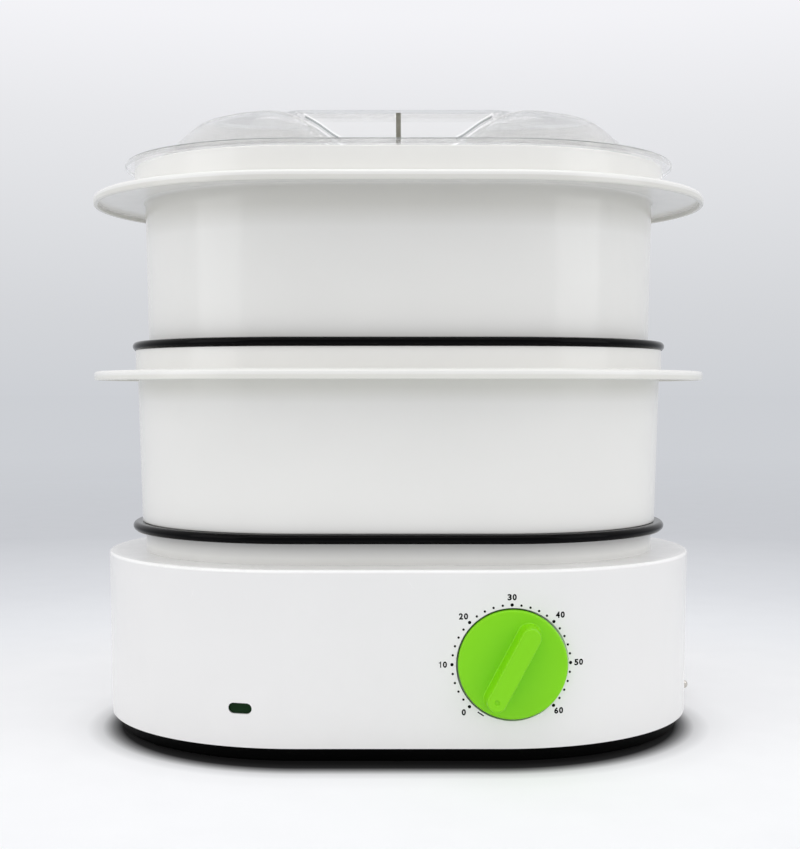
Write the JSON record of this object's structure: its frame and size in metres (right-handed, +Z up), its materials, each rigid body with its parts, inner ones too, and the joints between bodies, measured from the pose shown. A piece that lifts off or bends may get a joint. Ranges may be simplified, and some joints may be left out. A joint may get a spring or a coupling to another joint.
{
  "type": "electric food steamer",
  "caption": "Electric food steamer: white base with a water tank and a clockwork dial, a drip tray, stacked baskets on loose slotted grates, and a clear lid.",
  "frame": {"origin": "under the middle of the steamer's bounding box, at the bottom of its feet, cord and plug left out", "axes": "+X to the right seen from the front, along the steamer's long side; +Y to the back; +Z up; the knob faces -Y"},
  "size_m": [0.32, 0.3202, 0.3175],
  "materials": {
    "white_plastic": "glossy moulded",
    "black_plastic": "glossy",
    "black_base": "satin",
    "clear_plastic": "clear polished",
    "green_plastic": "satin",
    "tank_plastic": "semi-gloss",
    "grey_plastic": "moulded",
    "rubber": "matt",
    "silicone": "matt",
    "steel": "brushed",
    "aluminium": "cast",
    "brass": "plain",
    "nickel": "nickel plated",
    "ceramic": "glazed",
    "lens_green": "translucent",
    "lamp_glass": "clear",
    "cord_white": "soft PVC"
  },
  "bodies": {
    "base": {"base_shell": "white_plastic", "bottom_plate": "black_base", "rubber_feet": "rubber", "housing_screws": "steel", "water_tank": "tank_plastic", "heater_cap": "steel", "heater_seal": "silicone", "heater_clamp": "steel", "heater_nuts": "steel", "heating_element": "aluminium", "thermostat": "ceramic", "thermostat_strap": "steel", "thermal_fuse": "ceramic", "timer_case": "steel", "timer_plate": "steel", "timer_screws": "steel", "mainspring": "steel", "timer_bell": "steel", "contact_leaves": "brass", "pilot_lens": "lens_green", "pilot_lamp": "lamp_glass", "lamp_holder": "grey_plastic", "terminal_block": "grey_plastic", "strain_relief": "cord_white", "mains_cord": "cord_white", "cord_coil": "cord_white", "cord_tail": "cord_white", "plug_body": "cord_white", "plug_pins": "nickel"},
    "knob": {"knob": "green_plastic", "timer_shaft": "steel", "timer_cam": "grey_plastic"},
    "steam_ring": {"steam_ring": "grey_plastic"},
    "drip_tray": {"drip_tray": "white_plastic"},
    "lower_grate": {"lower_grate": "black_plastic"},
    "lower_basket": {"lower_basket": "white_plastic"},
    "upper_grate": {"upper_grate": "black_plastic"},
    "upper_basket": {"upper_basket": "white_plastic"},
    "lid": {"lid": "clear_plastic"}
  },
  "joints": [
    {"name": "knob_turn", "type": "hinge", "parent": "base", "child": "knob", "pos_m": [0.0521, -0.1011, 0.0474], "axis": [0, 1, 0], "range_deg": [0, 287]},
    {"name": "steam_ring_lift", "type": "slide", "parent": "base", "child": "steam_ring", "axis": [0, 0, 1], "range_m": [0, 0.02]},
    {"name": "drip_tray_lift", "type": "slide", "parent": "base", "child": "drip_tray", "axis": [0, 0, 1], "range_m": [0, 0.04]},
    {"name": "lower_grate_lift", "type": "slide", "parent": "drip_tray", "child": "lower_grate", "axis": [0, 0, 1], "range_m": [0, 0.025]},
    {"name": "lower_basket_lift", "type": "slide", "parent": "lower_grate", "child": "lower_basket", "axis": [0, 0, 1], "range_m": [0, 0.03]},
    {"name": "upper_grate_lift", "type": "slide", "parent": "lower_basket", "child": "upper_grate", "axis": [0, 0, 1], "range_m": [0, 0.025]},
    {"name": "upper_basket_lift", "type": "slide", "parent": "upper_grate", "child": "upper_basket", "axis": [0, 0, 1], "range_m": [0, 0.03]},
    {"name": "lid_lift", "type": "slide", "parent": "upper_basket", "child": "lid", "axis": [0, 0, 1], "range_m": [0, 0.06]}
  ]
}
